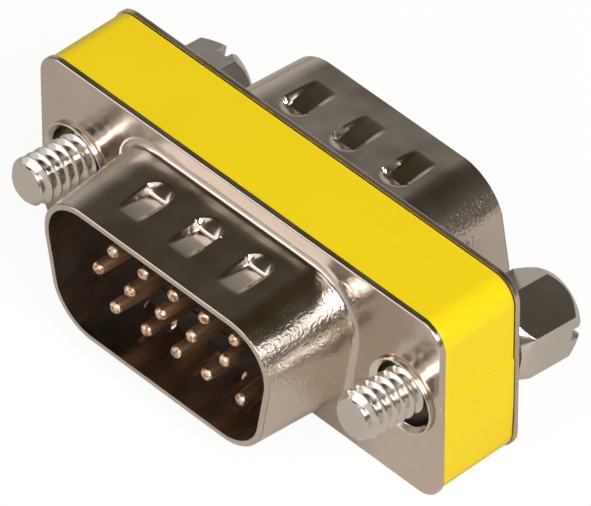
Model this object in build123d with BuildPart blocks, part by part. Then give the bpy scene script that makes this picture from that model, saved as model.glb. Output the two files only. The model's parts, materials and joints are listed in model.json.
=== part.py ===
# D-sub gender changer with 15 contacts: two pin plugs back to back in one slim body.
# X runs along the flanges, Y from the front mouth (-Y) to the rear mouth (+Y), +Z up.
# The origin lies under the middle of the body, on the surface that its long side rests on.
# Every size is in millimetres and every angle in degrees.
from build123d import *
import os
from math import atan, cos, degrees, radians, sin, tan

os.makedirs("parts", exist_ok=True)

# Flanges and body
flange_end = 2.805      # from a screw's axis to the flange's end
flange_height = 12.3
flange_corner = 1.6
flange_edge = 0.1       # bevel that the punch leaves on a flange's outer edge
sheet = 0.35            # wall of the drawn shells
body_depth = 5.8        # from one flange's outer face to the other's
screw_aside = 4.245     # from the side of a plug's mouth to a screw's axis

# Shell skirts: how far the inside reaches at the mouth, and how it widens behind it
mouth_width = 16.5
mouth_height = 8.15
mouth_corner = 2.65
side_angle = 10.0
skirt_depth = 5.9       # from the flange's outer face to the mouth
skirt_draft = 3.5
skirt_foot = 0.42       # bend between skirt and flange

# Grip dimples pressed into both long walls of a skirt; distances from the flange's face
dimples_in_row = 3
dimple_spacing = 3.8
dimple_width = 1.65
dimple_depth = 0.45
dimple_heel = 1.0
dimple_deepest = 1.9
dimple_toe = 4.3

# Contacts
contact_pitch = 2.29
row_pitch = 1.98
contacts_in_row = 5
pin_diameter = 0.76
pin_reach = 5.15        # from the flange's face to the pin's tip
tail_wire = 0.4         # square wire that joins a contact's two pins
tail_lead = 0.45        # straight tail between a pin and the step sideways
tail_step = 0.6         # length over which the tail steps sideways

# Insulators
tongue_reach = 0.4      # how far an insulator stands out of its flange
tongue_fit = 0.04       # gap between insulator and skirt
contact_fit = 0.02      # gap round a contact in its hole
crossing_depth = 1.9    # hollow behind the contact holes, where the tails cross
crossing_margin = 0.9   # from the outermost contact's axis to the hollow's wall

# Label, a vinyl strip wrapped once round the body with its ends lapped
label_thickness = 0.1
label_inset = 0.1       # from the flanges' outline to the label's surface
label_gap = 0.05        # between the label's edge and a flange
lap_seam = 0.95         # height of the outer end above the contacts' middle row
lap_length = 4.4
lap_thickness = 0.08
lap_skew = 0.38         # how far the outer end's corner runs over the front flange's edge

# Eyelets: tubes that clamp both shells on the insulators
eyelet_bore = 3.8
eyelet_wall = 0.2
eyelet_fit = 0.03       # gap between a tube and the holes that it passes
lip_diameter = 4.6
lip_height = 0.25
lip_bevel = 0.1

# Jackscrews with a 4-40 thread at each end, loose in their eyelets
thread_diameter = 2.845
thread_length = 3.15
thread_bevel = 0.35
screw_reach = 3.7       # thread's end in front of the flange's face, along the screw
neck_diameter = 2.2
hex_across = 4.76
hex_length = 4.4
hex_chamfer = 0.75      # length of the taper at each end of the hexagon
hex_end_diameter = 4.2
hex_clear = 0.23        # between the tilted hexagon and the eyelet's lip
slot_width = 0.75
slot_depth = 0.8
tapped_bore = 2.2
tapped_depth = 3.8
screw_tilt = 5.9        # the hexagon's weight lets its end of the screw hang
left_screw_drop = 0.2   # of the axis below the eyelets' middle, as the screw lies in its play
right_screw_drop = 0.0
left_hex_turn = 0.0
left_slot_turn = 82.0
right_hex_turn = 26.7
right_slot_turn = 0.0

# Worked out from the sizes above
screw_spacing = mouth_width + 2 * screw_aside
flange_width = screw_spacing + 2 * flange_end
half_body = body_depth / 2
axis_height = flange_height / 2
front_face = -half_body
inner_face = front_face + sheet
draft_growth = tan(radians(skirt_draft))
eyelet_hole = eyelet_bore / 2 + eyelet_wall + eyelet_fit
lap_inner = flange_width / 2 - label_inset


def facing_front(depth):
    """Plane across the body at this Y that looks out of the front mouth, with Z upwards."""
    return Plane(origin=(0, depth, axis_height), x_dir=(1, 0, 0), z_dir=(0, -1, 0))


def turned_over(solid):
    """The same piece at the other end of the body, turned over about the body's long axis."""
    return solid.rotate(Axis((0, 0, axis_height), (1, 0, 0)), 180)


# Skirt shape
def skirt_section(distance, inset):
    """D shape, wide side up, at a distance behind the mouth and an inset from the outside."""
    spread = sheet - inset + distance * draft_growth
    lean = radians(side_angle)
    corner = mouth_corner + spread
    height = mouth_height + 2 * spread
    half_top = mouth_width / 2 + spread + corner * (tan(lean) + 1 / cos(lean) - 1)
    half_bottom = half_top - height * tan(lean)
    with BuildSketch() as section:
        with BuildLine():
            Polyline(
                (-half_bottom, -height / 2),
                (half_bottom, -height / 2),
                (half_top, height / 2),
                (-half_top, height / 2),
                close=True,
            )
        make_face()
        fillet(section.vertices(), corner)
    return section.sketch


def wall_height(from_flange, inset):
    """Height of the skirt's upper wall at a distance in front of the flange's face."""
    spread = sheet - inset + (skirt_depth - from_flange) * draft_growth
    return axis_height + mouth_height / 2 + spread


def dimple_wedge(centre, inset, margin):
    """Wedge that one dimple presses into the upper wall: a long ramp and a short heel."""
    above = wall_height(0, 0) + dimple_depth
    with BuildPart() as wedge:
        with BuildSketch(Plane.YZ.offset(centre - dimple_width / 2 - margin)):
            with BuildLine():
                Polyline(
                    (front_face - dimple_heel + margin, above),
                    (front_face - dimple_heel + margin, wall_height(dimple_heel, inset)),
                    (front_face - dimple_deepest, wall_height(dimple_deepest, inset) - dimple_depth),
                    (front_face - dimple_toe - margin, wall_height(dimple_toe, inset)),
                    (front_face - dimple_toe - margin, above),
                    close=True,
                )
            make_face()
        extrude(amount=dimple_width + 2 * margin)
    return wedge.part


def dimple_set(inset, margin):
    """Wedges of all dimples in the wide wall and, turned over, in the narrow wall."""
    middle = (dimples_in_row - 1) / 2
    centres = [(index - middle) * dimple_spacing for index in range(dimples_in_row)]
    upper = [dimple_wedge(centre, inset, margin) for centre in centres]
    lower = [wedge.mirror(Plane.XY.offset(axis_height)) for wedge in upper]
    return upper + lower


# Shells: skirt, flange and the bend between them, drawn from one sheet
with BuildPart() as skirt_hollow:
    with BuildSketch(facing_front(inner_face)):
        add(skirt_section(skirt_depth + sheet, sheet))
    extrude(amount=skirt_depth + sheet, taper=skirt_draft)
    for wedge in dimple_set(sheet, sheet / 2):
        add(wedge, mode=Mode.SUBTRACT)

with BuildPart() as front_shell:
    with BuildSketch(facing_front(inner_face)):
        RectangleRounded(flange_width, flange_height, flange_corner)
    extrude(amount=sheet)
    chamfer(front_shell.faces().sort_by(Axis.Y)[0].edges(), flange_edge)
    with BuildSketch(facing_front(front_face)):
        add(skirt_section(skirt_depth, 0))
    extrude(amount=skirt_depth, taper=skirt_draft)
    flange_face = front_shell.faces().filter_by(Axis.Y).sort_by(Axis.Y)[1]
    fillet(flange_face.inner_wires()[0].edges(), skirt_foot)
    for wedge in dimple_set(0, 0):
        add(wedge, mode=Mode.SUBTRACT)
    add(skirt_hollow.part, mode=Mode.SUBTRACT)
    with BuildSketch(facing_front(inner_face)):
        with GridLocations(screw_spacing, 0, 2, 1):
            Circle(eyelet_hole)
    extrude(amount=sheet, mode=Mode.SUBTRACT)

front_shell.part.label = "front_shell"
export_step(front_shell.part, "parts/front_shell.step")

with BuildPart() as rear_shell:
    add(turned_over(front_shell.part))

rear_shell.part.label = "rear_shell"
export_step(rear_shell.part, "parts/rear_shell.step")

# Contact places: rows from the wide side down, as (X, height above the middle row)
row_offset = contact_pitch / 4
first_contact = -contact_pitch * (contacts_in_row - 1) / 2
contact_places = []
for row in (1, 0, -1):
    aside = -row_offset if row == 0 else row_offset
    for index in range(contacts_in_row):
        contact_places.append((first_contact + index * contact_pitch + aside, row * row_pitch))

# Insulators: a block behind the flange and a tongue inside the skirt
crossing_width = 2 * (contact_pitch * (contacts_in_row - 1) / 2 + row_offset + crossing_margin)
crossing_height = 2 * (row_pitch + crossing_margin)
block_inset = label_inset + label_thickness

with BuildPart() as front_insulator:
    with BuildSketch(facing_front(0)):
        RectangleRounded(
            flange_width - 2 * block_inset,
            flange_height - 2 * block_inset,
            flange_corner - block_inset,
        )
    extrude(amount=half_body - sheet)
    with BuildSketch(facing_front(inner_face)):
        add(skirt_section(skirt_depth + sheet, sheet + tongue_fit))
    extrude(amount=sheet + tongue_reach, taper=skirt_draft)
    with BuildSketch(facing_front(0)):
        Rectangle(crossing_width, crossing_height)
    extrude(amount=crossing_depth, mode=Mode.SUBTRACT)
    with BuildSketch(facing_front(0)):
        with Locations(*contact_places):
            Circle(pin_diameter / 2 + contact_fit)
    extrude(amount=half_body + tongue_reach, mode=Mode.SUBTRACT)
    with BuildSketch(facing_front(0)):
        with GridLocations(screw_spacing, 0, 2, 1):
            Circle(eyelet_hole)
    extrude(amount=half_body, mode=Mode.SUBTRACT)

front_insulator.part.label = "front_insulator"
export_step(front_insulator.part, "parts/front_insulator.step")

with BuildPart() as rear_insulator:
    add(turned_over(front_insulator.part))

rear_insulator.part.label = "rear_insulator"
export_step(rear_insulator.part, "parts/rear_insulator.step")

# Contacts: a pin at each end, joined by a wire that crosses where the rows change places
leg_aside = contact_pitch / 6

for number, (across, above) in enumerate(contact_places, start=1):
    aside = 0 if above == 0 else leg_aside * (-1 if above > 0 else 1)
    with BuildPart() as contact:
        with BuildSketch(facing_front(-crossing_depth)):
            with Locations((across, above)):
                Circle(pin_diameter / 2)
        extrude(amount=half_body - crossing_depth + pin_reach)
        with BuildSketch(facing_front(crossing_depth)):
            with Locations((across, -above)):
                Circle(pin_diameter / 2)
        extrude(amount=-(half_body - crossing_depth + pin_reach))
        step_end = crossing_depth - tail_lead - tail_step
        for side in (-1, 1):
            with BuildSketch(Plane.XY.offset(axis_height - side * above - tail_wire / 2)):
                with BuildLine():
                    Polyline(
                        (across - tail_wire / 2, side * crossing_depth),
                        (across - tail_wire / 2, side * (crossing_depth - tail_lead)),
                        (across + aside - tail_wire / 2, side * step_end),
                        (across + aside - tail_wire / 2, -side * tail_wire / 2),
                        (across + aside + tail_wire / 2, -side * tail_wire / 2),
                        (across + aside + tail_wire / 2, side * step_end),
                        (across + tail_wire / 2, side * (crossing_depth - tail_lead)),
                        (across + tail_wire / 2, side * crossing_depth),
                        close=True,
                    )
                make_face()
            extrude(amount=tail_wire)
        if above != 0:
            with BuildSketch(Plane.XY.offset(axis_height - row_pitch)):
                with Locations((across + aside, 0)):
                    Rectangle(tail_wire, tail_wire)
            extrude(amount=2 * row_pitch)
    contact.part.label = f"contact_{number:02d}"
    export_step(contact.part, f"parts/contact_{number:02d}.step")

# Label
label_reach = half_body - sheet - label_gap

with BuildPart() as label_band:
    with BuildSketch(facing_front(label_reach)):
        RectangleRounded(
            flange_width - 2 * label_inset,
            flange_height - 2 * label_inset,
            flange_corner - label_inset,
        )
        RectangleRounded(
            flange_width - 2 * block_inset,
            flange_height - 2 * block_inset,
            flange_corner - block_inset,
            mode=Mode.SUBTRACT,
        )
    extrude(amount=2 * label_reach)
    with BuildSketch(Plane.YZ.offset(lap_inner)):
        with BuildLine():
            Polyline(
                (-label_reach - lap_skew, axis_height + lap_seam),
                (label_reach, axis_height + lap_seam),
                (label_reach, axis_height + lap_seam - lap_length),
                (-label_reach, axis_height + lap_seam - lap_length),
                close=True,
            )
        make_face()
    extrude(amount=label_inset + lap_thickness)
    with BuildSketch(facing_front(inner_face)):
        Rectangle(flange_width, flange_height)
    extrude(amount=sheet, mode=Mode.SUBTRACT)

label_band.part.label = "label_band"
export_step(label_band.part, "parts/label_band.step")

# Eyelets and jackscrews, left and right
tilt = radians(screw_tilt)
thread_tip = -half_body - screw_reach
hex_start = (half_body + lip_height) * cos(tilt) + lip_diameter / 2 * sin(tilt) + hex_clear
hex_corner = hex_across / 2 / cos(radians(30))
hex_taper = degrees(atan((hex_corner - hex_end_diameter / 2) / hex_chamfer))


def across_screw(centre, drop, distance):
    """Plane across a screw's tilted axis, this far behind the middle of the body."""
    return Plane(
        origin=(centre, distance * cos(tilt), axis_height - drop - distance * sin(tilt)),
        x_dir=(1, 0, 0),
        z_dir=(0, cos(tilt), -sin(tilt)),
    )


for name, centre, drop, hex_turn, slot_turn in (
    ("left", -screw_spacing / 2, left_screw_drop, left_hex_turn, left_slot_turn),
    ("right", screw_spacing / 2, right_screw_drop, right_hex_turn, right_slot_turn),
):
    with BuildPart() as eyelet:
        with BuildSketch(facing_front(half_body + lip_height)):
            with Locations((centre, 0)):
                Circle(eyelet_bore / 2 + eyelet_wall)
        extrude(amount=2 * (half_body + lip_height))
        for face in (half_body + lip_height, -half_body):
            with BuildSketch(facing_front(face)):
                with Locations((centre, 0)):
                    Circle(lip_diameter / 2)
            extrude(amount=lip_height)
        ends = eyelet.faces().filter_by(Axis.Y).sort_by(Axis.Y)
        chamfer(ends[0].edges() + ends[-1].edges(), lip_bevel)
        with BuildSketch(facing_front(half_body + lip_height)):
            with Locations((centre, 0)):
                Circle(eyelet_bore / 2)
        extrude(amount=2 * (half_body + lip_height), mode=Mode.SUBTRACT)
        ends = eyelet.faces().filter_by(Axis.Y).sort_by(Axis.Y)
        mouths = [end.inner_wires()[0].edges() for end in (ends[0], ends[-1])]
        chamfer(mouths[0] + mouths[1], lip_bevel)
    eyelet.part.label = f"{name}_eyelet"
    export_step(eyelet.part, f"parts/{name}_eyelet.step")

    with BuildPart() as jackscrew:
        with BuildSketch(across_screw(centre, drop, hex_start)):
            RegularPolygon(hex_across / 2, 6, major_radius=False, rotation=-hex_turn)
        extrude(amount=hex_length)
        with BuildSketch(across_screw(centre, drop, hex_start + hex_length)):
            Circle(hex_end_diameter / 2)
        extrude(amount=-hex_length, taper=-hex_taper, mode=Mode.INTERSECT)
        with BuildSketch(across_screw(centre, drop, hex_start)):
            Circle(hex_end_diameter / 2)
        extrude(amount=hex_length, taper=-hex_taper, mode=Mode.INTERSECT)
        with BuildSketch(across_screw(centre, drop, thread_tip)):
            Circle(thread_diameter / 2)
        extrude(amount=thread_length)
        chamfer(jackscrew.faces().sort_by(Axis.Y)[0].edges(), thread_bevel)
        with BuildSketch(across_screw(centre, drop, thread_tip + thread_length)):
            Circle(neck_diameter / 2)
        extrude(amount=hex_start - thread_tip - thread_length)
        with BuildSketch(across_screw(centre, drop, hex_start + hex_length)):
            Rectangle(2 * hex_across, slot_width, rotation=-slot_turn)
        extrude(amount=-slot_depth, mode=Mode.SUBTRACT)
        with BuildSketch(across_screw(centre, drop, hex_start + hex_length)):
            Circle(tapped_bore / 2)
        extrude(amount=-tapped_depth, mode=Mode.SUBTRACT)
    jackscrew.part.label = f"{name}_jackscrew"
    export_step(jackscrew.part, f"parts/{name}_jackscrew.step")
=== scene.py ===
# %% [markdown]
# # A slim D-sub gender changer in Blender
# The object is two pin plugs back to back in a body hardly 6 mm deep: two drawn metal shells, a
# yellow label round the middle, fifteen gold pins and two loose jackscrews. The CAD frame fixes
# where everything is. This notebook dresses it: each visible piece is modelled again with soft
# edges, threads and pressed dimples, gets a finish made of nodes, and is lit and photographed.

# %% Load the frame
import json
from math import cos, hypot, pi, radians, sin, sqrt, tan

import bmesh
import bpy
from mathutils import Matrix, Vector

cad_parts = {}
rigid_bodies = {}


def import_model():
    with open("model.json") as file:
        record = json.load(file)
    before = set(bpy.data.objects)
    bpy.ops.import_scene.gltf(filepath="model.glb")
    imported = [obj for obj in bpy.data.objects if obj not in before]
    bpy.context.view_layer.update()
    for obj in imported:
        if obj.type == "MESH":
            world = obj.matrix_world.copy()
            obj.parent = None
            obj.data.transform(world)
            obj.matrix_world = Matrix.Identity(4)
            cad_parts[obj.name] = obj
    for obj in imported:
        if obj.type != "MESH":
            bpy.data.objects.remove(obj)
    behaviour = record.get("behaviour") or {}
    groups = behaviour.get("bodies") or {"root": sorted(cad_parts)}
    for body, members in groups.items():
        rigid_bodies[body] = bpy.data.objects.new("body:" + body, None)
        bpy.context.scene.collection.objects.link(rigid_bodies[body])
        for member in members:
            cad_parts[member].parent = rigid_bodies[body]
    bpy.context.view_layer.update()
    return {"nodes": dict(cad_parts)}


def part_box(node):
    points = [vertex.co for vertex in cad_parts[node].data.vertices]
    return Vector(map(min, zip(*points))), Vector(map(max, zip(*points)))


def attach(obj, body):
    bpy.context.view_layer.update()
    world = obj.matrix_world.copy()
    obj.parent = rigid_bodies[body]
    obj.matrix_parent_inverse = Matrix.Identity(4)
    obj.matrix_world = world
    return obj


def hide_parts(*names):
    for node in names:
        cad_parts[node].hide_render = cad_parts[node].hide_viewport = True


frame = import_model()
MM = 0.001


def in_mm(values):
    """Rounded millimetres of several lengths, for printing."""
    return [round(value / MM, 2) for value in values]


# %% [markdown]
# ## Measures from the frame
# The places come from the boxes of the CAD nodes, so a piece lands where its solid is.
# Only what a box can't tell, such as a wall or a corner radius, is written as a value.

# %% Read the main places
shell_low, shell_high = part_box("front_shell")
flange_half = shell_high[0]
axis_height = (shell_low[2] + shell_high[2]) / 2
flange_half_height = (shell_high[2] - shell_low[2]) / 2
mouth_y = shell_low[1]
inner_y = shell_high[1]
sheet = 0.35 * MM
front_y = inner_y - sheet
right_low, right_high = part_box("right_eyelet")
screw_x = (right_low[0] + right_high[0]) / 2
print("flange's front face at Y", in_mm([front_y]), "mm, screws at X", in_mm([screw_x]), "mm")

# %% [markdown]
# ## Helpers for edit mode
# Every new piece starts as a primitive. The edit-mode operators work on what is selected, so these
# helpers choose vertices, edges or faces by their place, move them by a rule, and end a piece by
# putting its origin in the middle of the frame.

# %% Selection helpers
close = 0.001 * MM


def clear_selection():
    """Leaves edit mode and deselects everything."""
    if bpy.context.object and bpy.context.object.mode != "OBJECT":
        bpy.ops.object.mode_set(mode="OBJECT")
    bpy.ops.object.select_all(action="DESELECT")


def choose(piece):
    """Selects one piece alone and makes it active."""
    clear_selection()
    piece.select_set(True)
    bpy.context.view_layer.objects.active = piece


def start_editing(piece, mode="VERT"):
    """Opens one piece in edit mode with nothing selected."""
    choose(piece)
    bpy.ops.object.mode_set(mode="EDIT")
    bpy.ops.mesh.select_mode(type=mode)
    bpy.ops.mesh.select_all(action="DESELECT")


def select_where(kind, test):
    """Selects the vertices, edges or faces of the mesh in edit mode that pass a test."""
    mesh = bpy.context.object.data
    editing = bmesh.from_edit_mesh(mesh)
    bpy.ops.mesh.select_mode(type={"verts": "VERT", "edges": "EDGE", "faces": "FACE"}[kind])
    bpy.ops.mesh.select_all(action="DESELECT")
    for part in getattr(editing, kind):
        if test(part):
            part.select_set(True)
    editing.select_flush_mode()
    bmesh.update_edit_mesh(mesh)


def middle(edge):
    """Middle point of an edge."""
    return (edge.verts[0].co + edge.verts[1].co) / 2


def both_ends(edge, test):
    """Whether both vertices of an edge pass a test."""
    return test(edge.verts[0]) and test(edge.verts[1])


print("a place counts as met within", close / MM, "mm")


# %% Shaping helpers
def move_vertices(rule):
    """Gives each vertex in edit mode the place that a rule works out from its old one."""
    mesh = bpy.context.object.data
    editing = bmesh.from_edit_mesh(mesh)
    for vertex in editing.verts:
        vertex.co = rule(vertex.co.copy())
    bmesh.update_edit_mesh(mesh)


def turn_on_axis(angle):
    """Turns the mesh in edit mode round the Y axis, by the right-hand rule."""
    turned = Matrix.Rotation(angle, 3, "Y")
    move_vertices(lambda place: turned @ place)


def pull(*way):
    """Extrudes what is selected along a way."""
    bpy.ops.mesh.extrude_region_move(TRANSFORM_OT_translate={"value": way})


def draw_outline(name, points, closed=True):
    """Wire outline in the XY plane, bent from a circle with one vertex for each point."""
    clear_selection()
    bpy.ops.mesh.primitive_circle_add(vertices=len(points), radius=1 * MM)
    outline = bpy.context.object
    outline.name = name
    start_editing(outline)
    drawn = bmesh.from_edit_mesh(outline.data)
    drawn.verts.ensure_lookup_table()
    for vertex, (first, second) in zip(drawn.verts, points):
        vertex.co = Vector((first, second, 0))
    if not closed:
        ends = {drawn.verts[0], drawn.verts[len(points) - 1]}
        closing = [edge for edge in drawn.edges if set(edge.verts) == ends]
        bmesh.ops.delete(drawn, geom=closing, context="EDGES_FACES")
    bmesh.update_edit_mesh(outline.data)
    return outline


def spin_round_y(steps):
    """Spins the outline in edit mode once round the Y axis and closes the seam."""
    bpy.ops.mesh.select_all(action="SELECT")
    bpy.ops.mesh.spin(steps=steps, angle=2 * pi, center=(0, 0, 0), axis=(0, 1, 0))
    bpy.ops.mesh.select_all(action="SELECT")
    bpy.ops.mesh.remove_doubles(threshold=close)
    bpy.ops.mesh.normals_make_consistent(inside=False)


print("shaping helpers ready")


# %% Finishing helpers
def apply_modifier(piece, kind, **settings):
    """Adds one modifier and applies it."""
    choose(piece)
    modifier = piece.modifiers.new(kind.lower(), kind)
    for name, value in settings.items():
        setattr(modifier, name, value)
    bpy.ops.object.modifier_apply(modifier=modifier.name)


def finish_piece(piece, body, smooth_angle):
    """Puts the place into the mesh, smooths what is round and hangs the piece on its body."""
    choose(piece)
    bpy.ops.object.transform_apply(location=True, rotation=True, scale=True)
    bpy.ops.object.mode_set(mode="EDIT")
    bpy.ops.mesh.select_all(action="SELECT")
    bpy.ops.mesh.remove_doubles(threshold=0.01 * close)
    bpy.ops.object.mode_set(mode="OBJECT")
    bpy.ops.object.shade_smooth_by_angle(angle=radians(smooth_angle))
    apply_modifier(piece, "WEIGHTED_NORMAL", keep_sharp=True, weight=60)
    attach(piece, body)
    print(piece.name, "has", len(piece.data.polygons), "faces")


print("finishing helpers ready")

# %% [markdown]
# ## Drawn shells
# A shell is pressed from one sheet: a flat flange, a tight bend, and a D-shaped skirt that narrows
# a little towards its mouth. Two ways are possible: cut it from a solid, as CAD does, or model
# only its outer skin and give it a thickness at the end. The skin is better here, because the
# dimples can then be pushed in softly, and their bulges on the inside follow by themselves.

# %% Skirt and flange measures
mouth_half = 8.6 * MM
mouth_half_height = 4.425 * MM
mouth_corner = 3.0 * MM
side_angle = radians(10)
foot_bend = 0.42 * MM
foot_ring = 0.08 * MM
draft = tan(radians(3.5))
skirt_depth = front_y - mouth_y
flange_corner = 1.6 * MM
eyelet_hole = 2.13 * MM
flange_edge = 0.12 * MM
mouth_edge = 0.11 * MM
print("skirt is", in_mm([skirt_depth]), "mm deep")

# %% [markdown]
# The skin starts as a wire round the mouth: a plane made into a trapezium, its corners rounded by
# a bevel on the vertices. Its long sides are divided finely, because the dimples need vertices.

# %% Mouth of the skirt
half_top = mouth_half + mouth_corner * (tan(side_angle) + 1 / cos(side_angle) - 1)
half_low = half_top - 2 * mouth_half_height * tan(side_angle)
corner_run_top = mouth_corner * tan(radians(45) + side_angle / 2)
corner_run_low = mouth_corner * tan(radians(45) - side_angle / 2)
long_side = mouth_half_height - close
slanted_length = 1 * MM

clear_selection()
bpy.ops.mesh.primitive_plane_add(size=2, location=(0, mouth_y, axis_height), rotation=(pi / 2, 0, 0))
front_skin = bpy.context.object
front_skin.name = "front_shell_pressed"
front_skin.scale = (half_top, mouth_half_height, 1)
bpy.ops.object.transform_apply(location=True, rotation=True, scale=True)
start_editing(front_skin)
select_where("verts", lambda v: v.co.z < axis_height)
bpy.ops.transform.resize(value=(half_low / half_top, 1, 1))
select_where("verts", lambda v: v.co.z < axis_height)
bpy.ops.mesh.bevel(offset=corner_run_low, affect="VERTICES", segments=18)
select_where("verts", lambda v: v.co.z > axis_height + long_side)
bpy.ops.mesh.bevel(offset=corner_run_top, affect="VERTICES", segments=22)
select_where("faces", lambda f: True)
bpy.ops.mesh.delete(type="ONLY_FACE")
select_where(
    "edges", lambda e: abs(middle(e).z - axis_height) > long_side and e.calc_length() > mouth_corner
)
bpy.ops.mesh.subdivide(number_cuts=150)
select_where("edges", lambda e: e.calc_length() > slanted_length)
bpy.ops.mesh.subdivide(number_cuts=8)
print("mouth's corners stand", in_mm([half_top, half_low]), "mm from the middle before rounding")

# %% [markdown]
# One extrusion makes the wall, wider at its foot by the draft. The quarter bend into the flange is
# a row of short extrusions, each a little further out, and a narrow flat ring ends it.

# %% Wall and foot bend
wall_run = skirt_depth - foot_bend
widen = wall_run * draft
skirt_rows = 76
foot_steps = 9


def grow_round_axis(half_wide, half_high, outward):
    """Widens what is selected outward, about the middle of the shell."""
    factor = (1 + outward / half_wide, 1, 1 + outward / half_high)
    bpy.ops.transform.resize(value=factor, center_override=(0, 0, axis_height))


select_where("edges", lambda e: True)
pull(0, wall_run, 0)
grow_round_axis(mouth_half, mouth_half_height, widen)
select_where("edges", lambda e: abs(e.verts[0].co.y - e.verts[1].co.y) > wall_run / 2)
bpy.ops.mesh.subdivide(number_cuts=skirt_rows)

half_wide, half_high = mouth_half + widen, mouth_half_height + widen
turned = 0.0
select_where("verts", lambda v: v.co.y > mouth_y + wall_run - close)
for step in range(1, foot_steps + 1):
    angle = radians(90) * step / foot_steps
    outward = foot_bend * (cos(turned) - cos(angle))
    pull(0, foot_bend * (sin(angle) - sin(turned)), 0)
    grow_round_axis(half_wide, half_high, outward)
    half_wide, half_high = half_wide + outward, half_high + outward
    turned = angle
pull(0, 0, 0)
grow_round_axis(half_wide, half_high, foot_ring)
print("foot is", in_mm([half_wide + foot_ring, half_high + foot_ring]), "mm from the middle")

# %% [markdown]
# A dimple grips the other plug. The punch leaves a ramp that deepens towards the flange between
# two steep sides, and a rounder slope at its heel. A formula tells how deep the wall is pushed at
# each place, and there is only one skin so far, so the inside will bulge by the same amount.

# %% Press the dimples
dimple_spacing = 3.8 * MM
dimple_half = 0.86 * MM
dimple_side = 0.24 * MM
dimple_depth = 0.47 * MM
dimple_toe = 4.35 * MM
dimple_heel = 2.1 * MM
heel_step = 0.1 * MM
heel_run = 0.85 * MM
foot_margin = 0.5 * MM
ramp_curve = 1.3
heel_curve = 1.15


def ease(value):
    """Runs smoothly from 0 to 1."""
    value = min(max(value, 0.0), 1.0)
    return value * value * (3 - 2 * value)


def dimple_push(across, ahead):
    """How far the wall is pushed in, at a place across the row and ahead of the flange."""
    column = round(across / dimple_spacing)
    if abs(column) > 1:
        return 0.0
    aside = abs(across - column * dimple_spacing)
    if aside >= dimple_half:
        return 0.0
    if ahead >= dimple_heel:
        # The floor: a ramp that starts softly at the toe, between two steep sides
        ramp = max(dimple_toe - ahead, 0.0) / (dimple_toe - dimple_heel)
        return dimple_depth * ramp ** ramp_curve * ease((dimple_half - aside) / dimple_side)
    # The heel: a half-round slope up to the wall, a small step above the floor
    round_run = heel_run * sqrt(1 - (aside / dimple_half) ** 2)
    climb = max(1 - (dimple_heel - ahead) / round_run, 0.0)
    return (dimple_depth - heel_step) * climb ** heel_curve


def press_dimples(place):
    """Moves a vertex of the skirt's long walls into the dimple that it lies in."""
    ahead = front_y - place.y
    if ahead < foot_margin or ahead > dimple_toe or abs(place.x) > 1.5 * dimple_spacing:
        return place
    side = 1 if place.z > axis_height else -1
    place.z -= side * dimple_push(place.x, ahead)
    return place


move_vertices(press_dimples)
print("deepest push:", in_mm([dimple_push(0.0, dimple_heel)]), "mm")

# %% [markdown]
# The flange is a flat plate with a D-shaped opening and two holes for the eyelets. Its outline and
# the holes are added as wires in the same mesh, and one fill joins them to the foot of the skirt.
# Then Solidify gives the sheet its thickness on the inner side, and bevels soften the cut edges.

# %% Flange, thickness and edges
bpy.ops.mesh.select_all(action="DESELECT")
bpy.ops.mesh.primitive_plane_add(size=2, location=(0, front_y, axis_height), rotation=(pi / 2, 0, 0))
bpy.ops.transform.resize(
    value=(flange_half, 1, flange_half_height), center_override=(0, front_y, axis_height)
)
bpy.ops.mesh.bevel(offset=flange_corner, affect="VERTICES", segments=12)
reach = flange_half - 2 * flange_corner
select_where("faces", lambda f: max(abs(v.co.x) for v in f.verts) > reach and len(f.verts) > 8)
bpy.ops.mesh.delete(type="ONLY_FACE")
bpy.ops.mesh.select_all(action="DESELECT")
for side in (-1, 1):
    place = (side * screw_x, front_y, axis_height)
    bpy.ops.mesh.primitive_circle_add(
        vertices=48, radius=eyelet_hole, location=place, rotation=(pi / 2, 0, 0)
    )
select_where("edges", lambda e: len(e.link_faces) < 2 and abs(middle(e).y - front_y) < close)
bpy.ops.mesh.fill(use_beauty=True)
bpy.ops.mesh.select_all(action="SELECT")
bpy.ops.mesh.remove_doubles(threshold=0.1 * close)
bpy.ops.mesh.normals_make_consistent(inside=False)
bpy.ops.object.mode_set(mode="OBJECT")
front_skin.data.update()
flange_face = max(front_skin.data.polygons, key=lambda p: p.area)
inwards = -1 if flange_face.normal.y < 0 else 1
apply_modifier(front_skin, "SOLIDIFY", thickness=sheet, offset=inwards, use_even_offset=True, use_rim=True)


outline_band = 0.6 * MM
sharp = radians(60)


def is_flange_edge(edge):
    """Whether an edge lies on the punched outline of the flange's front face."""
    if not both_ends(edge, lambda v: abs(v.co.y - front_y) <= 2 * close):
        return False
    beside = abs(middle(edge).x) > flange_half - outline_band
    above = abs(middle(edge).z - axis_height) > flange_half_height - outline_band
    return (beside or above) and edge.calc_face_angle(0) > sharp


start_editing(front_skin, "EDGE")
select_where("edges", is_flange_edge)
bpy.ops.mesh.bevel(offset=flange_edge, segments=4, profile=0.5)
select_where("edges", lambda e: middle(e).y < mouth_y + 20 * close and e.calc_face_angle(0) > sharp)
bpy.ops.mesh.bevel(offset=mouth_edge, segments=3, profile=0.5)
bpy.ops.object.mode_set(mode="OBJECT")
print("front shell spans", in_mm(front_skin.dimensions), "mm")

# %% [markdown]
# The rear shell comes from the same press tool. It is mounted turned over about the X axis, which
# brings its narrow side up, so a copy is turned in edit mode.

# %% Turn a copy over for the rear
choose(front_skin)
bpy.ops.object.duplicate()
rear_skin = bpy.context.object
rear_skin.name = "rear_shell_pressed"
start_editing(rear_skin)
bpy.ops.mesh.select_all(action="SELECT")
bpy.ops.transform.rotate(value=pi, orient_axis="X", center_override=(0, 0, axis_height))
bpy.ops.object.mode_set(mode="OBJECT")
finish_piece(front_skin, "adapter", smooth_angle=40)
finish_piece(rear_skin, "adapter", smooth_angle=40)
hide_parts("front_shell")
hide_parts("rear_shell")

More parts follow.
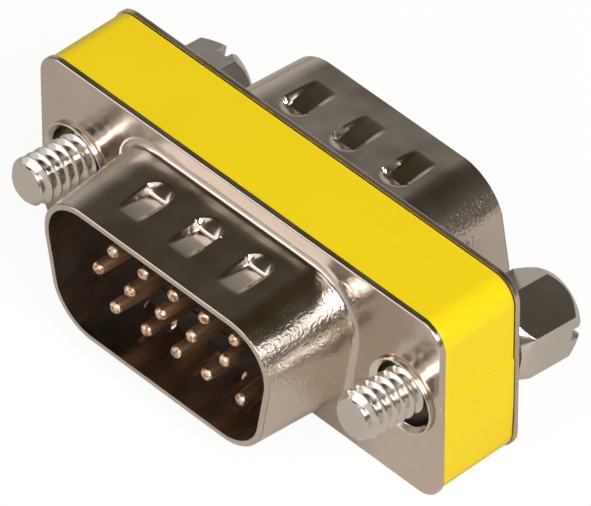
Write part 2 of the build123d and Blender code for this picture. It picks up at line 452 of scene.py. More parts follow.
# %% [markdown]
# ## Eyelets
# An eyelet is a thin tube whose two ends are rolled over onto the flanges. A lathe is the natural
# tool for it, so one small outline is spun round the tube's axis: a trumpet that opens towards
# each end, and a round rim.

# %% Spin the eyelets
eyelet_bore = 1.9 * MM
eyelet_wall = 0.2 * MM
eyelet_rim = 0.05 * MM
flare_steps = 8
flare_rise = 0.85
flare_curve = 1.3
lip_radius = (right_high[0] - right_low[0]) / 2
lip_end = right_high[1]


def rolled_eyelet(name, centre):
    """Tube flared at both ends, spun round its axis from one closed outline."""
    rim_centre = lip_radius - eyelet_rim
    flare = rim_centre - eyelet_bore
    stations = []
    for end in (1, -1):
        trumpet = []
        for step in range(flare_steps + 1):
            share = step / flare_steps
            climb = flare_rise * flare * (1 - share) ** flare_curve
            trumpet.append((eyelet_bore + flare * share, end * (lip_end - climb)))
        for step in range(1, flare_steps + 1):
            angle = radians(90) - pi * step / flare_steps
            rise = eyelet_rim * sin(angle) - eyelet_rim
            trumpet.append((rim_centre + eyelet_rim * cos(angle), end * (lip_end + rise)))
        trumpet.append((eyelet_bore + eyelet_wall, -end * front_y))
        stations += trumpet if end == 1 else trumpet[::-1]
    eyelet = draw_outline(name, stations)
    spin_round_y(steps=72)
    bpy.ops.transform.translate(value=(centre, 0, axis_height))
    bpy.ops.object.mode_set(mode="OBJECT")
    return eyelet


for side, centre in (("left", -screw_x), ("right", screw_x)):
    eyelet = rolled_eyelet(f"{side}_eyelet_rolled", centre)
    finish_piece(eyelet, "adapter", smooth_angle=50)
    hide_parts(f"{side}_eyelet")

# %% [markdown]
# ## Jackscrews
# Each screw has a threaded end in front and a hexagon behind, slotted and tapped for the next
# screw. A thread is one pitch of its outline, turned and raised at the same time, which is what
# the Screw modifier does. The hexagon, its slot and its tapped end are cut with booleans, as a
# lathe and a mill would, and a fine bevel catches the light on its edges.

# %% Screw measures
screw_tilt = radians(5.9)
thread_radius = 1.4225 * MM
thread_root = 1.0 * MM
thread_pitch = 0.635 * MM
thread_length = 4.2 * MM
thread_tip = front_y - 3.7 * MM
thread_back = thread_tip + thread_length
tip_radius = 1.12 * MM
neck_radius = 1.1 * MM
hex_across = 4.76 * MM
hex_corner = hex_across / sqrt(3)
hex_length = 4.4 * MM
hex_taper = 0.75 * MM
hex_end_radius = 2.2 * MM
hex_clear = 0.23 * MM
hex_start = lip_end * cos(screw_tilt) + lip_radius * sin(screw_tilt) + hex_clear
hex_end = hex_start + hex_length
slot_width = 0.75 * MM
slot_depth = 0.8 * MM
tapped_radius = 1.1 * MM
tapped_depth = 3.8 * MM
print("hexagon runs from", in_mm([hex_start, hex_end]), "mm behind the middle of the body")

# %% [markdown]
# The outline of one pitch is a flat root, a steep flank, a narrow crest and the flank back. The
# swept rod is trimmed flat at both ends, and its tip is tapered so that it finds its hole.

# %% Thread
# Along the pitch, and up from root to crest, both as shares
thread_outline = (
    (0, 0), (0.12, 0), (0.18, 0.1), (0.45, 0.93), (0.5, 1), (0.62, 1), (0.67, 0.93), (0.94, 0.1), (1, 0)
)
tip_slope = 0.9
core_slope = 0.5


def trim(place, clear_front):
    """Cuts the rod in edit mode flat at a place on its axis and closes the cut."""
    bpy.ops.mesh.select_all(action="SELECT")
    bpy.ops.mesh.bisect(
        plane_co=(0, place, 0), plane_no=(0, 1, 0), clear_inner=clear_front, clear_outer=not clear_front,
        threshold=0.1 * close,
    )
    select_where("edges", lambda e: len(e.link_faces) == 1 and abs(middle(e).y - place) < 10 * close)
    bpy.ops.mesh.edge_face_add()


def point_tip(place):
    """Tapers the crests towards the tip, and closes the roots up to a blunt core."""
    ahead = place.y - thread_tip
    radius = hypot(place.x, place.z)
    least = min(tip_radius - core_slope * ahead, thread_root + 0.1 * MM)
    wanted = min(max(radius, least), tip_radius + tip_slope * ahead)
    return Vector((place.x * wanted / radius, place.y, place.z * wanted / radius))


def threaded_end(name):
    """Threaded rod: one pitch swept as a helix, trimmed flat, its tip tapered."""
    start = thread_tip - 2 * thread_pitch
    depth = thread_radius - thread_root
    ridge = [(thread_root + depth * raised, start + thread_pitch * along) for along, raised in thread_outline]
    rod = draw_outline(name, ridge, closed=False)
    bpy.ops.object.mode_set(mode="OBJECT")
    apply_modifier(
        rod, "SCREW", axis="Y", angle=2 * pi, screw_offset=thread_pitch,
        iterations=int(thread_length / thread_pitch) + 4, steps=48, render_steps=48,
        use_merge_vertices=True, merge_threshold=0.1 * close,
    )
    start_editing(rod)
    bpy.ops.mesh.select_all(action="SELECT")
    bpy.ops.mesh.remove_doubles(threshold=0.5 * close)
    trim(thread_tip, clear_front=True)
    trim(thread_back, clear_front=False)
    move_vertices(point_tip)
    turn_on_axis(pi)
    bpy.ops.mesh.select_all(action="SELECT")
    bpy.ops.mesh.normals_make_consistent(inside=False)
    bpy.ops.object.mode_set(mode="OBJECT")
    return rod


print("thread has", round(thread_length / thread_pitch, 1), "turns")


# %% Cutting helpers
def cut(piece, tool, operation):
    """Joins, cuts or crops a piece with a tool, and deletes the tool."""
    apply_modifier(piece, "BOOLEAN", object=tool, operation=operation, solver="EXACT")
    bpy.data.objects.remove(tool, do_unlink=True)


def lathe(name, points, steps=48):
    """Solid turned round the Y axis from an outline of (radius, Y) points."""
    solid = draw_outline(name, points, closed=False)
    spin_round_y(steps)
    bpy.ops.object.mode_set(mode="OBJECT")
    return solid


print("cutting helpers ready")

# %% [markdown]
# A hexagon bar is turned down at both ends, which leaves curved corners on its flats. A double
# cone, widest in the middle of the bar, crops it so. The neck joins it to the thread, through the
# eyelet. The slot and the tapped bore come last, as in the workshop.

# %% Hexagon end
bore_chamfer = 0.25 * MM
neck_overlap = 0.05 * MM
neck_into_hexagon = 0.5 * MM
drill_point = 0.5 * MM


def hexagon_bar(name, hex_turn):
    """Hexagon bar along the Y axis, turned by an angle, its two ends tapered."""
    clear_selection()
    half = hex_length / 2
    bpy.ops.mesh.primitive_cylinder_add(
        vertices=6, radius=hex_corner, depth=hex_length,
        location=(0, hex_start + half, 0), rotation=(-pi / 2, 0, 0),
    )
    bar = bpy.context.object
    bar.name = name
    bpy.ops.object.transform_apply(location=True, rotation=True, scale=True)
    start_editing(bar)
    turn_on_axis(pi / 2 - hex_turn)
    bpy.ops.object.mode_set(mode="OBJECT")
    widest = hex_end_radius + (hex_corner - hex_end_radius) / hex_taper * half
    crop = [
        (0, hex_start),
        (hex_end_radius, hex_start),
        (widest, hex_start + half),
        (hex_end_radius, hex_end),
        (0, hex_end),
    ]
    cut(bar, lathe("end_taper", crop, steps=96), "INTERSECT")
    return bar


def slot_blade(slot_turn):
    """Blade that cuts the screwdriver slot into the hexagon's end."""
    clear_selection()
    bpy.ops.mesh.primitive_cube_add(size=1)
    blade = bpy.context.object
    blade.scale = (3 * hex_across, 2 * slot_depth, slot_width)
    blade.location = (0, hex_end, 0)
    bpy.ops.object.transform_apply(location=True, rotation=True, scale=True)
    start_editing(blade)
    turn_on_axis(-slot_turn)
    bpy.ops.object.mode_set(mode="OBJECT")
    return blade


def hexagon_end(name, hex_turn, slot_turn):
    """Tapered hexagon on a short neck, with a screwdriver slot and a tapped bore."""
    hexagon = hexagon_bar(name, hex_turn)
    neck_start, neck_stop = thread_back - neck_overlap, hex_start + neck_into_hexagon
    neck = [(0, neck_start), (neck_radius, neck_start), (neck_radius, neck_stop), (0, neck_stop)]
    cut(hexagon, lathe("neck", neck), "UNION")
    cut(hexagon, slot_blade(slot_turn), "DIFFERENCE")
    bore = [
        (0, hex_end - tapped_depth - drill_point),
        (tapped_radius, hex_end - tapped_depth),
        (tapped_radius, hex_end - bore_chamfer),
        (tapped_radius + 2 * bore_chamfer, hex_end + bore_chamfer),
        (0, hex_end + bore_chamfer),
    ]
    cut(hexagon, lathe("tapped_bore", bore), "DIFFERENCE")
    apply_modifier(
        hexagon, "BEVEL", width=0.07 * MM, segments=2, limit_method="ANGLE", angle_limit=radians(25),
        use_clamp_overlap=True, miter_outer="MITER_ARC",
    )
    return hexagon


print("slot is", in_mm([slot_width, slot_depth]), "mm wide and deep")

# %% [markdown]
# Both screws are loose, so each hangs nose up and tail down in its eyelet, and they have turned by
# chance. The left one also lies a little lower.

# %% Assemble and hang the two screws
tilted = Matrix.Rotation(-screw_tilt, 3, "X")
for side, centre, drop, hex_turn, slot_turn in (
    ("left", -screw_x, 0.2 * MM, radians(0), radians(82)),
    ("right", screw_x, 0.0, radians(26.7), radians(0)),
):
    rod = threaded_end(f"{side}_screw_thread")
    screw = hexagon_end(f"{side}_jackscrew_turned", hex_turn, slot_turn)
    choose(screw)
    rod.select_set(True)
    bpy.ops.object.join()
    start_editing(screw)
    hung = Vector((centre, 0, axis_height - drop))
    move_vertices(lambda place: tilted @ place + hung)
    bpy.ops.object.mode_set(mode="OBJECT")
    finish_piece(screw, f"{side}_screw", smooth_angle=32)
    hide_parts(f"{side}_jackscrew")

# %% [markdown]
# ## Contacts
# A contact is one pin right through the body, with a rounded nose at each end. The two plugs are
# turned over against each other, so a contact of an outer row changes height inside: its thin
# tail steps aside and crosses to the other row. A cylinder with a bevelled end makes the pin, and
# a small square face extruded along the route makes the tail.

# %% Contact measures
contact_pitch = 2.29 * MM
row_pitch = 1.98 * MM
pin_radius = 0.38 * MM
pin_end = -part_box("contact_06")[0][1]
pin_root = 1.9 * MM
pin_into_tail = 0.1 * MM
nose = 0.3 * MM
tail = 0.2 * MM
tail_lead = 0.45 * MM
tail_step = 0.6 * MM
lean_curve = 1.3
# Handled pins lean a little: how far each tip in front stands aside, in mm, row by row
pin_lean = (
    (-0.28, -0.23, -0.23, -0.17, -0.16),
    (-0.30, -0.16, -0.07, 0.02, 0.26),
    (-0.16, -0.06, -0.03, 0.0, 0.34),
)
print("pins reach", in_mm([pin_end]), "mm from the middle of the body")


# %% Tail and pins of a contact
def contact_tail(name, across, above):
    """Square wire from one pin's root to the other's, left open in edit mode."""
    aside = 0 if above == 0 else contact_pitch / 6 * (-1 if above > 0 else 1)
    run = pin_root - tail_lead - tail_step - tail
    clear_selection()
    bpy.ops.mesh.primitive_plane_add(size=2 * tail, rotation=(pi / 2, 0, 0))
    contact = bpy.context.object
    contact.name = name
    contact.location = (across, -pin_root, axis_height + above)
    bpy.ops.object.transform_apply(location=True, rotation=True, scale=True)
    start_editing(contact)
    bpy.ops.mesh.select_all(action="SELECT")
    for move in [(0, tail_lead, 0), (aside, tail_step, 0), (0, run, 0), (0, 2 * tail, 0)]:
        pull(*move)
    if above != 0:
        # From the middle block the wire goes on up or down, and ahead again from its far end
        down = -1 if above > 0 else 1
        near = 0.5 * tail
        select_where("faces", lambda f: abs(f.calc_center_median().y) < near and f.normal.z * down > 0.9)
        pull(0, 0, -2 * above - down * 2 * tail)
        pull(0, 0, down * 2 * tail)
        far = axis_height - above
        select_where("faces", lambda f: abs(f.calc_center_median().z - far) < near and f.normal.y > 0.9)
    for move in [(0, run, 0), (-aside, tail_step, 0), (0, tail_lead, 0)]:
        pull(*move)
    return contact


def add_pin(end, across, above):
    """Adds the round pin in front (end -1) or behind (end 1) to the contact in edit mode."""
    length = pin_end - pin_root + pin_into_tail
    place = (across, end * (pin_end - length / 2), axis_height - end * above)
    tip = end * pin_end
    bpy.ops.mesh.select_all(action="DESELECT")
    bpy.ops.mesh.primitive_cylinder_add(
        vertices=28, radius=pin_radius, depth=length, location=place, rotation=(pi / 2, 0, 0)
    )
    select_where("edges", lambda e: both_ends(e, lambda v: abs(v.co.y - tip) < close))
    bpy.ops.mesh.bevel(offset=nose, segments=6, profile=0.5)


print("tail is", in_mm([2 * tail]), "mm square")

# %% Make the fifteen contacts
number = 0
for row in (1, 0, -1):
    above = row * row_pitch
    shift = contact_pitch / 4 * (-1 if row == 0 else 1)
    for column in range(-2, 3):
        number += 1
        across = column * contact_pitch + shift
        lean = pin_lean[1 - row][column + 2] * MM

        def lean_pin(place):
            """Bends the front pin aside, more towards its tip."""
            ahead = (front_y - place.y) / (front_y + pin_end)
            if ahead > 0:
                place.x += lean * ahead ** lean_curve
            return place

        contact = contact_tail(f"contact_pin_{number:02d}", across, above)
        for end in (-1, 1):
            add_pin(end, across, above)
        move_vertices(lean_pin)
        bpy.ops.object.mode_set(mode="OBJECT")
        finish_piece(contact, "adapter", smooth_angle=40)
        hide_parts(f"contact_{number:02d}")

# %% [markdown]
# ## Label
# The label is a vinyl strip wrapped once round the body. Its outer end laps over the start on the
# right and was stuck on a little skew. A strip is drawn as its outline seen from the front, pulled
# to its width, and given its thickness, so that the lap shows as a real step.

# %% Label measures
label_inset = 0.1 * MM
label_reach = -inner_y - 0.05 * MM
label_half = flange_half - label_inset
label_half_height = flange_half_height - label_inset
label_corner = 1.5 * MM
label_corner_steps = 12
vinyl = 0.08 * MM
lap_out = 1.05 * vinyl
lap_seam = 0.95 * MM
lap_foot = -3.6 * MM
lap_skew = 0.38 * MM
print("label is", in_mm([2 * label_reach]), "mm wide")


# %% Wrap the label
def skew_lap(place):
    """Shortens the outer end of the strip askew, most at the seam in front."""
    height = place.z - axis_height
    if place.x < label_half + 0.2 * vinyl or height > lap_seam + 10 * close:
        return place
    share = (height - lap_foot) / (lap_seam - lap_foot)
    ahead = (label_reach - place.y) / (2 * label_reach)
    place.y -= lap_skew * max(share, 0) * ahead
    return place


def wrapped_label(name):
    """Vinyl strip round the body, its outer end lapped over its start on the right."""
    outside = []
    for index, (side, above) in enumerate(((1, 1), (-1, 1), (-1, -1), (1, -1))):
        centre = (side * (label_half - label_corner), above * (label_half_height - label_corner))
        for step in range(label_corner_steps + 1):
            angle = pi / 2 * (index + step / label_corner_steps)
            outside.append((centre[0] + label_corner * cos(angle), centre[1] + label_corner * sin(angle)))
    start = [(label_half, lap_seam + along * MM) for along in (-1.5, 0, 1.5)]
    end = [(label_half + 0.5 * vinyl, lap_foot)]
    end += [(label_half + lap_out, height) for height in (-2.4 * MM, -0.8 * MM, lap_seam)]
    strip = draw_outline(name, start + outside + end, closed=False)
    bpy.ops.mesh.select_all(action="SELECT")
    pull(0, 0, 2 * label_reach)
    select_where("edges", lambda e: abs(e.verts[0].co.z - e.verts[1].co.z) > label_reach)
    bpy.ops.mesh.subdivide(number_cuts=11)
    # Stand the strip up: its outline lay in XY and its width along Z
    move_vertices(lambda place: Vector((place.x, place.z - label_reach, place.y + axis_height)))
    move_vertices(skew_lap)
    bpy.ops.object.mode_set(mode="OBJECT")
    return strip


label = wrapped_label("label_wrap")
lap_faces = [face for face in label.data.polygons if face.center.x > label_half]
inwards = -1 if sum(face.normal.x for face in lap_faces) > 0 else 1
apply_modifier(label, "SOLIDIFY", thickness=vinyl, offset=inwards, use_even_offset=True)
apply_modifier(label, "BEVEL", width=0.03 * MM, segments=2, limit_method="ANGLE", angle_limit=radians(50))
finish_piece(label, "adapter", smooth_angle=40)
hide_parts("label_band")

# %% [markdown]
# ## Finishes
# Nickel shows mostly what it mirrors, so its character lies in small things: slow waves in the
# sheet, a faint grain that breaks up reflections, and a warm tint. One node group gives them to
# all the metals, each with its own scale and strength.

# %% Node helpers
def new_material(name):
    """Material with a Principled shader, and its nodes and links."""
    material = bpy.data.materials.new(name)
    material.use_nodes = True
    return material, material.node_tree.nodes, material.node_tree.links


def add_node(nodes, kind, inputs=None, **settings):
    """New shader node of a kind, with its settings and the values of its inputs."""
    node = nodes.new("ShaderNode" + kind)
    for name, value in settings.items():
        setattr(node, name, value)
    for name, value in (inputs or {}).items():
        node.inputs[name].default_value = value
    return node


def dress(piece, material):
    """Gives a piece one material all over."""
    piece.data.materials.clear()
    piece.data.materials.append(material)


print("node helpers ready")

# %% Grain group shared by the metals
grain = bpy.data.node_groups.new("metal_grain", "ShaderNodeTree")
for name, usual in (("Scale", 1500.0), ("Roughness Low", 0.2), ("Roughness High", 0.35)):
    socket = grain.interface.new_socket(name, in_out="INPUT", socket_type="NodeSocketFloat")
    socket.default_value = usual
for name in ("Height", "Roughness", "Cloud", "Waves"):
    grain.interface.new_socket(name, in_out="OUTPUT", socket_type="NodeSocketFloat")
nodes, links = grain.nodes, grain.links
given = nodes.new("NodeGroupInput")
result = nodes.new("NodeGroupOutput")
places = add_node(nodes, "TexCoord")
fine = add_node(nodes, "TexNoise", {"Detail": 3})
wide = add_node(nodes, "TexNoise", {"Scale": 260, "Detail": 4})
slow = add_node(nodes, "TexNoise", {"Scale": 320, "Detail": 1})
spread = add_node(nodes, "MapRange", {"From Min": 0.35, "From Max": 0.65})
for noise in (fine, wide, slow):
    links.new(places.outputs["Object"], noise.inputs["Vector"])
links.new(given.outputs["Scale"], fine.inputs["Scale"])
links.new(wide.outputs["Fac"], spread.inputs["Value"])
links.new(given.outputs["Roughness Low"], spread.inputs["To Min"])
links.new(given.outputs["Roughness High"], spread.inputs["To Max"])
links.new(fine.outputs["Fac"], result.inputs["Height"])
links.new(spread.outputs["Result"], result.inputs["Roughness"])
links.new(wide.outputs["Fac"], result.inputs["Cloud"])
links.new(slow.outputs["Fac"], result.inputs["Waves"])
print("grain group has", len(nodes), "nodes")


# %% Metal finishes
def metal(name, dark, light, scale, smooth, rough, depth, wave=0.0):
    """Plated metal: two close tints in clouds, grain in roughness and bump, and slow waves."""
    material, nodes, links = new_material(name)
    shader = nodes["Principled BSDF"]
    shader.inputs["Metallic"].default_value = 1.0
    surface = nodes.new("ShaderNodeGroup")
    surface.node_tree = grain
    surface.inputs["Scale"].default_value = scale
    surface.inputs["Roughness Low"].default_value = smooth
    surface.inputs["Roughness High"].default_value = rough
    tint = add_node(nodes, "Mix", {"A": (*dark, 1), "B": (*light, 1)}, data_type="RGBA")
    bump = add_node(nodes, "Bump", {"Distance": depth})
    links.new(surface.outputs["Cloud"], tint.inputs["Factor"])
    links.new(tint.outputs["Result"], shader.inputs["Base Color"])
    links.new(surface.outputs["Roughness"], shader.inputs["Roughness"])
    links.new(surface.outputs["Height"], bump.inputs["Height"])
    links.new(bump.outputs["Normal"], shader.inputs["Normal"])
    if wave:
        swell = add_node(nodes, "Bump", {"Distance": wave})
        links.new(surface.outputs["Waves"], swell.inputs["Height"])
        links.new(swell.outputs["Normal"], bump.inputs["Normal"])
    return material


shell_nickel = metal(
    "shell_nickel", dark=(0.62, 0.545, 0.47), light=(0.76, 0.68, 0.61),
    scale=2600, smooth=0.13, rough=0.22, depth=0.0022 * MM, wave=0.11 * MM,
)
eyelet_nickel = metal(
    "eyelet_nickel", dark=(0.78, 0.72, 0.64), light=(0.90, 0.85, 0.78),
    scale=2200, smooth=0.16, rough=0.28, depth=0.0015 * MM,
)
screw_nickel = metal(
    "screw_nickel", dark=(0.70, 0.655, 0.60), light=(0.82, 0.78, 0.74),
    scale=2400, smooth=0.12, rough=0.2, depth=0.002 * MM, wave=0.03 * MM,
)
contact_gold = metal(
    "contact_gold", dark=(0.62, 0.38, 0.22), light=(0.80, 0.55, 0.38),
    scale=3000, smooth=0.3, rough=0.45, depth=0.006 * MM,
)
print("four metals")

# %% [markdown]
# Drawing stretches the sheet most at the skirt's corners, and there it turns rough like orange
# peel. Masks on the object's own coordinates find those places: beside the dimples and in front
# of the flange, but not on the flange's ends.

# %% Orange peel on the skirt's corners
def distance_mask(nodes, links, places, axis, begins, full):
    """Mask that rises from 0 to 1 between two distances from the middle, along one axis."""
    parts = add_node(nodes, "SeparateXYZ")
    size = add_node(nodes, "Math", operation="ABSOLUTE")
    share = add_node(nodes, "MapRange", {"From Min": begins, "From Max": full})
    links.new(places.outputs["Object"], parts.inputs["Vector"])
    links.new(parts.outputs[axis], size.inputs[0])
    links.new(size.outputs["Value"], share.inputs["Value"])
    return share.outputs["Result"]


def add_corner_peel(material):
    """Coarser bump where the drawing stretched the skirt's corners most."""
    nodes, links = material.node_tree.nodes, material.node_tree.links
    places = add_node(nodes, "TexCoord")
    beside = distance_mask(nodes, links, places, "X", 6.3 * MM, 8.1 * MM)
    within = distance_mask(nodes, links, places, "X", 10.2 * MM, 9.2 * MM)
    on_skirt = distance_mask(nodes, links, places, "Y", 2.95 * MM, 3.3 * MM)
    corner = add_node(nodes, "Math", operation="MULTIPLY")
    mask = add_node(nodes, "Math", operation="MULTIPLY")
    peel = add_node(nodes, "TexNoise", {"Scale": 5200, "Detail": 4})
    rough = add_node(nodes, "Bump", {"Distance": 0.038 * MM})
    links.new(beside, corner.inputs[0])
    links.new(within, corner.inputs[1])
    links.new(corner.outputs["Value"], mask.inputs[0])
    links.new(on_skirt, mask.inputs[1])
    links.new(mask.outputs["Value"], rough.inputs["Strength"])
    links.new(places.outputs["Object"], peel.inputs["Vector"])
    links.new(peel.outputs["Fac"], rough.inputs["Height"])
    links.new(nodes["Bump"].outputs["Normal"], rough.inputs["Normal"])
    links.new(rough.outputs["Normal"], nodes["Principled BSDF"].inputs["Normal"])


add_corner_peel(shell_nickel)
print("shell finish has", len(shell_nickel.node_tree.nodes), "nodes")


# %% Painted sparkle and shade on the pins' noses
def add_painted_nose_sparkle(material):
    """Flecked gold painted on the pins' noses: pale flecks for their sparkling highlights and dark flecks for
    their speckled shade, made rougher by a bump.
    """
    nodes, links = material.node_tree.nodes, material.node_tree.links
    shader = nodes["Principled BSDF"]
    places = add_node(nodes, "TexCoord")
    on_nose = distance_mask(nodes, links, places, "Y", pin_end - 0.42 * MM, pin_end - 0.25 * MM)
    speckle_noise = add_node(nodes, "TexNoise", {"Scale": 5200, "Detail": 3})
    patch = add_node(nodes, "MapRange", {"From Min": 0.42, "From Max": 0.52})
    # Painted light: the pale flecks stand in for the noses' sparkling highlights, the dark ones for their
    # speckled shade
    shade_and_sparkle_tints = {"A": (0.40, 0.20, 0.10, 1), "B": (1.0, 0.78, 0.60, 1)}
    flecks = add_node(nodes, "Mix", shade_and_sparkle_tints, data_type="RGBA")
    nose_paint = add_node(nodes, "Mix", data_type="RGBA")
    rough = add_node(nodes, "Bump", {"Distance": 0.06 * MM})
    links.new(places.outputs["Object"], speckle_noise.inputs["Vector"])
    links.new(speckle_noise.outputs["Fac"], patch.inputs["Value"])
    links.new(patch.outputs["Result"], flecks.inputs["Factor"])
    links.new(on_nose, nose_paint.inputs["Factor"])
    links.new(nodes["Mix"].outputs["Result"], nose_paint.inputs["A"])
    links.new(flecks.outputs["Result"], nose_paint.inputs["B"])
    links.new(nose_paint.outputs["Result"], shader.inputs["Base Color"])
    links.new(on_nose, rough.inputs["Strength"])
    links.new(speckle_noise.outputs["Fac"], rough.inputs["Height"])
    links.new(nodes["Bump"].outputs["Normal"], rough.inputs["Normal"])
    links.new(rough.outputs["Normal"], shader.inputs["Normal"])


add_painted_nose_sparkle(contact_gold)
for piece in (front_skin, rear_skin):
    dress(piece, shell_nickel)
for piece in bpy.data.objects:
    if piece.name.endswith("_eyelet_rolled"):
        dress(piece, eyelet_nickel)
    elif piece.name.endswith("_jackscrew_turned"):
        dress(piece, screw_nickel)
    elif piece.name.startswith("contact_pin_"):
        dress(piece, contact_gold)
print("metals are on their pieces")

# %% [markdown]
# ## Plastics
# The insulators are black moulded plastic deep inside the mouths. The label is glossy vinyl: a
# clear coat over yellow, with slow waves where it doesn't lie quite flat. In both, one noise
# varies the tone and the roughness together.

# %% Plastic finishes
def plastic(name, dark, light, scale, smooth, rough):
    """Plastic whose tone and roughness follow one noise, with its shader and the noise."""
    material, nodes, links = new_material(name)
    shader = nodes["Principled BSDF"]
    places = add_node(nodes, "TexCoord")
    noise = add_node(nodes, "TexNoise", {"Scale": scale, "Detail": 2})
    tone = add_node(nodes, "Mix", {"A": (*dark, 1), "B": (*light, 1)}, data_type="RGBA")
    spread = add_node(nodes, "MapRange", {"To Min": smooth, "To Max": rough})
    links.new(places.outputs["Object"], noise.inputs["Vector"])
    links.new(noise.outputs["Fac"], tone.inputs["Factor"])
    links.new(tone.outputs["Result"], shader.inputs["Base Color"])
    links.new(noise.outputs["Fac"], spread.inputs["Value"])
    links.new(spread.outputs["Result"], shader.inputs["Roughness"])
    return material, shader, noise


moulded_black, _, _ = plastic(
    "moulded_black", dark=(0.018, 0.010, 0.006), light=(0.035, 0.022, 0.013),
    scale=1800, smooth=0.45, rough=0.65,
)
for name in ("front_insulator", "rear_insulator"):
    dress(frame["nodes"][name], moulded_black)

label_vinyl, shader, noise = plastic(
    "label_vinyl", dark=(0.84, 0.615, 0.008), light=(0.88, 0.665, 0.012),
    scale=180, smooth=0.22, rough=0.34,
)
shader.inputs["Coat Roughness"].default_value = 0.06
shader.inputs["Coat Weight"].default_value = 0.12
shader.inputs["Specular IOR Level"].default_value = 0.15
bump = add_node(label_vinyl.node_tree.nodes, "Bump", {"Distance": 0.02 * MM, "Strength": 0.5})
label_vinyl.node_tree.links.new(noise.outputs["Fac"], bump.inputs["Height"])
label_vinyl.node_tree.links.new(bump.outputs["Normal"], shader.inputs["Normal"])
dress(label, label_vinyl)
print("plastics ready")

# %% [markdown]
# ## Floor, light and camera
# Metal shows what it mirrors, so the room is part of the finish. An even grey room would make all
# its faces look alike. This one is dark and brown overhead, so the tops of the skirts stay dark.
# It is light low down in two directions, which fills the flanges and the skirts' corners, and four
# lamps draw the bright lines on bends, threads and dimples. The floor is pale paper.

# %% Floor
clear_selection()
bpy.ops.mesh.primitive_plane_add(size=3)
floor = bpy.context.object
floor.name = "floor"
floor_paper, nodes, links = new_material("floor_paper")
shader = nodes["Principled BSDF"]
shader.inputs["Roughness"].default_value = 0.9
shader.inputs["Base Color"].default_value = (0.54, 0.50, 0.46, 1)
# Seen by the camera itself, the paper glows nearly white, and it keeps a faint shadow
ray = add_node(nodes, "LightPath")
glow = add_node(nodes, "Emission", {"Color": (1, 1, 1, 1), "Strength": 1.08})
share = add_node(nodes, "Math", {1: 0.86}, operation="MULTIPLY")
blend = add_node(nodes, "MixShader")
links.new(ray.outputs["Is Camera Ray"], share.inputs[0])
links.new(share.outputs["Value"], blend.inputs["Fac"])
links.new(shader.outputs["BSDF"], blend.inputs[1])
links.new(glow.outputs["Emission"], blend.inputs[2])
links.new(blend.outputs["Shader"], nodes["Material Output"].inputs["Surface"])
dress(floor, floor_paper)

# %% Sky that is darker overhead
world = bpy.data.worlds.new("studio")
bpy.context.scene.world = world
world.use_nodes = True
nodes, links = world.node_tree.nodes, world.node_tree.links
sky = nodes["Background"]
sky.inputs["Strength"].default_value = 1.0
ray = add_node(nodes, "LightPath")
direction = add_node(nodes, "TexCoord")
split = add_node(nodes, "SeparateXYZ")
ramp = add_node(nodes, "ValToRGB")
bands = ((0.0, 1.0), (0.26, 0.95), (0.42, 0.7), (0.57, 0.55), (0.71, 0.35), (0.85, 0.05), (1.0, 0.0))
for height, brightness in bands[1:-1]:
    ramp.color_ramp.elements.new(height)
for stop, (height, brightness) in zip(ramp.color_ramp.elements, bands):
    stop.position = height
    stop.color = (brightness, brightness, brightness, 1)
links.new(direction.outputs["Generated"], split.inputs["Vector"])
links.new(split.outputs["Z"], ramp.inputs["Fac"])
print("sky has", len(ramp.color_ramp.elements), "bands")

# %% Two lighter directions
light_share = add_node(nodes, "Math", operation="ADD")
# Each is a direction, the cosines between which its light fades in, and how light it gets
behind_left = ((-0.57, 0.82, 0), 0.65, 0.9, 0.45)
in_front = ((-0.37, -0.93, 0), 0.5, 0.85, 0.75)
for slot, (toward, edge, full, amount) in enumerate((behind_left, in_front)):
    facing = add_node(nodes, "VectorMath", {1: toward}, operation="DOT_PRODUCT")
    limits = {"From Min": edge, "From Max": full, "To Min": 0.06, "To Max": amount}
    fade = add_node(nodes, "MapRange", limits, interpolation_type="SMOOTHSTEP")
    links.new(direction.outputs["Generated"], facing.inputs[0])
    links.new(facing.outputs["Value"], fade.inputs["Value"])
    links.new(fade.outputs["Result"], light_share.inputs[slot])
height_share = add_node(nodes, "Math", operation="MULTIPLY")
dark_and_light = {"A": (0.036, 0.025, 0.010, 1), "B": (1, 0.98, 0.96, 1)}
room = add_node(nodes, "Mix", dark_and_light, data_type="RGBA")
whiter = add_node(nodes, "Mix", {"B": (1, 1, 1, 1)}, data_type="RGBA")
links.new(light_share.outputs["Value"], height_share.inputs[0])
links.new(ramp.outputs["Color"], height_share.inputs[1])
links.new(height_share.outputs["Value"], room.inputs["Factor"])
links.new(room.outputs["Result"], whiter.inputs["A"])
links.new(ray.outputs["Is Camera Ray"], whiter.inputs["Factor"])
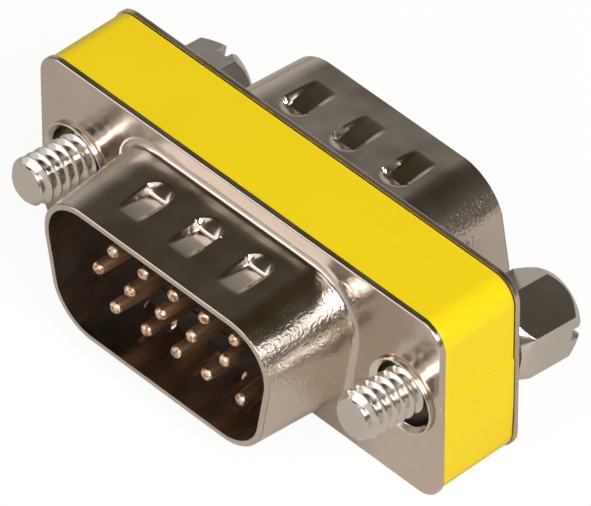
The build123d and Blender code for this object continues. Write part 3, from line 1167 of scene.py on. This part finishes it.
links.new(whiter.outputs["Result"], sky.inputs["Color"])
print("world has", len(nodes), "nodes")


# %% Lamps
def soft_lamp(name, place, size, power, tone=(1, 1, 1)):
    """Rectangular lamp that faces the object, with its place and size in metres."""
    clear_selection()
    bpy.ops.object.light_add(type="AREA", location=place)
    lamp = bpy.context.object
    lamp.name = name
    lamp.data.shape = "RECTANGLE"
    lamp.data.size, lamp.data.size_y = size
    lamp.data.energy = power
    lamp.data.color = tone
    aim = Vector((0, 0, axis_height)) - Vector(place)
    lamp.rotation_euler = aim.to_track_quat("-Z", "Y").to_euler()


soft_lamp("lamp_above", (0.05, -0.10, 0.45), (0.3, 0.3), 0.3)
soft_lamp("lamp_front_left", (-0.257, -0.411, 0.353), (0.75, 0.24), 0.73, (1, 0.98, 1))
soft_lamp("lamp_right", (0.418, 0.03, 0.272), (0.42, 0.19), 0.42)
soft_lamp("lamp_right_front", (0.337, -0.157, 0.335), (0.3, 0.26), 2.3)
print("four lamps")

# %% [markdown]
# The camera stands far off with a long lens, so the two flanges stay nearly parallel. Its angles,
# its focal length and the point it looks at were solved from the places of pins, mouth and flanges.

# %% Camera
azimuth, elevation, roll = radians(46.53), radians(43.14), radians(-0.12)
distance = 0.5
aim_offset = Vector((1.28, 3.0, 0.53)) * MM
focal_pixels = 9493.24
picture_width = 591
sensor_width = 36
forward = Vector((-sin(azimuth) * cos(elevation), cos(azimuth) * cos(elevation), -sin(elevation)))
level = Vector((cos(azimuth), sin(azimuth), 0))
across = level * cos(roll) + level.cross(forward) * sin(roll)
upward = across.cross(forward)
target = Vector((0, front_y, axis_height)) + aim_offset
clear_selection()
bpy.ops.object.camera_add(location=target - forward * distance)
camera = bpy.context.object
camera.rotation_euler = Matrix((across, upward, -forward)).transposed().to_euler()
camera.data.sensor_width = sensor_width
camera.data.lens = focal_pixels / picture_width * sensor_width
camera.data.clip_start = 0.01
bpy.context.scene.camera = camera
bpy.context.scene.view_settings.view_transform = "Standard"
print("camera looks from", in_mm(camera.location), "mm")
